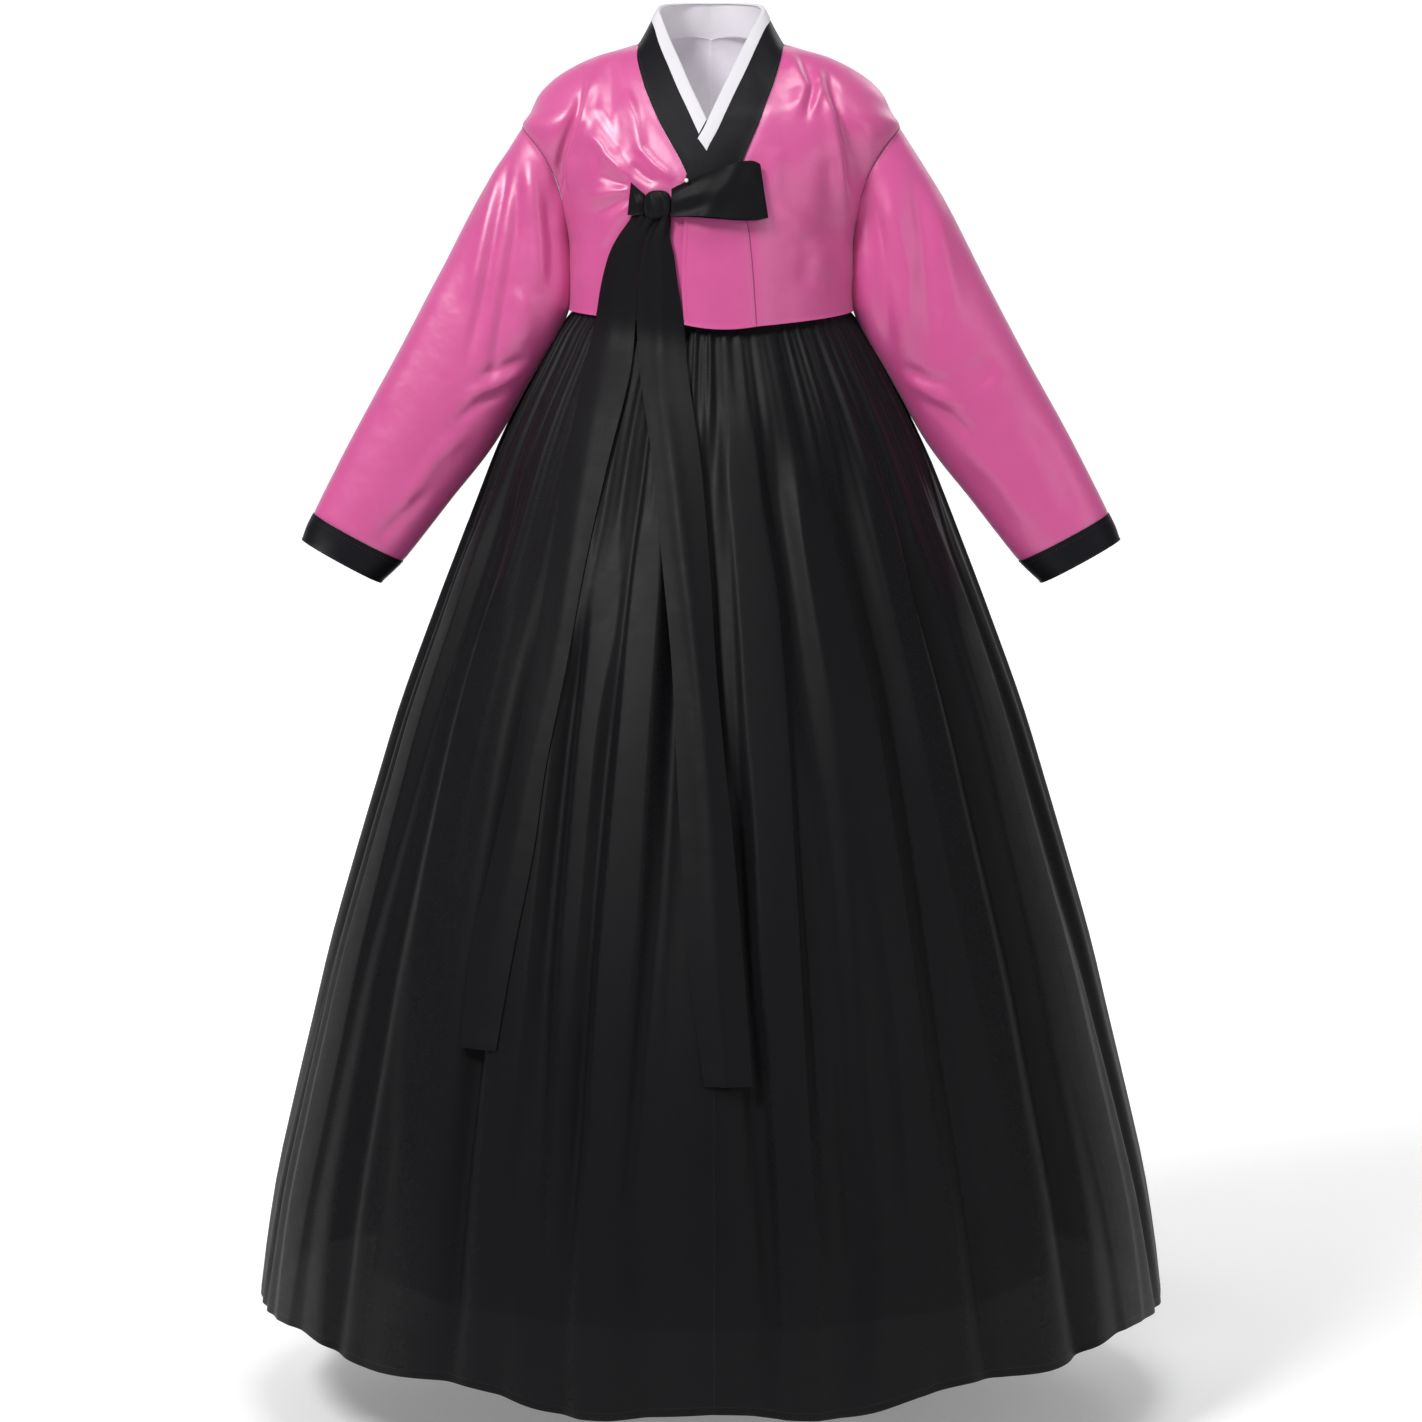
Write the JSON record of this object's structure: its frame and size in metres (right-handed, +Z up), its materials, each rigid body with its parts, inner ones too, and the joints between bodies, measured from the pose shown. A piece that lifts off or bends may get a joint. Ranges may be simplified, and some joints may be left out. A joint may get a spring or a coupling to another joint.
{
  "type": "hanbok",
  "caption": "Short crossed-front jacket with long tapered sleeves and a tied ribbon over a high-waisted full-length gathered skirt.",
  "frame": {"origin": "between the shoulders at the base of the neck, where the garment rests on its wearer", "axes": "+Z up, -Y out of the front, +X towards the wearer's left"},
  "size_m": [0.9905, 0.9166, 1.4275],
  "materials": {
    "skirt_cloth": "thin black chiffon with a soft sheen",
    "skirt_lining": "plain black lining",
    "waistband_cloth": "plain white cotton",
    "jacket_satin": "glossy pink satin, lined in pale lilac",
    "trim_cloth": "black satin with a low sheen",
    "collar_strip": "stiffened white cloth",
    "ribbon": "black satin with a low sheen"
  },
  "bodies": {
    "root": {"chima_skirt": "skirt_cloth", "chima_lining": "skirt_lining", "chima_waistband": "waistband_cloth", "chima_strap_left": "waistband_cloth", "chima_strap_right": "waistband_cloth", "jeogori_front_left": "jacket_satin", "jeogori_front_right": "jacket_satin", "jeogori_seop_outer": "jacket_satin", "jeogori_seop_inner": "jacket_satin", "jeogori_back_left": "jacket_satin", "jeogori_back_right": "jacket_satin", "jeogori_sleeve_left": "jacket_satin", "jeogori_sleeve_right": "jacket_satin", "jeogori_cuff_left": "trim_cloth", "jeogori_cuff_right": "trim_cloth", "jeogori_collar": "trim_cloth", "jeogori_dongjeong": "collar_strip", "goreum_knot": "ribbon", "goreum_loop": "ribbon", "goreum_ear": "ribbon", "goreum_tail_left": "ribbon", "goreum_tail_right": "ribbon"}
  },
  "joints": []
}
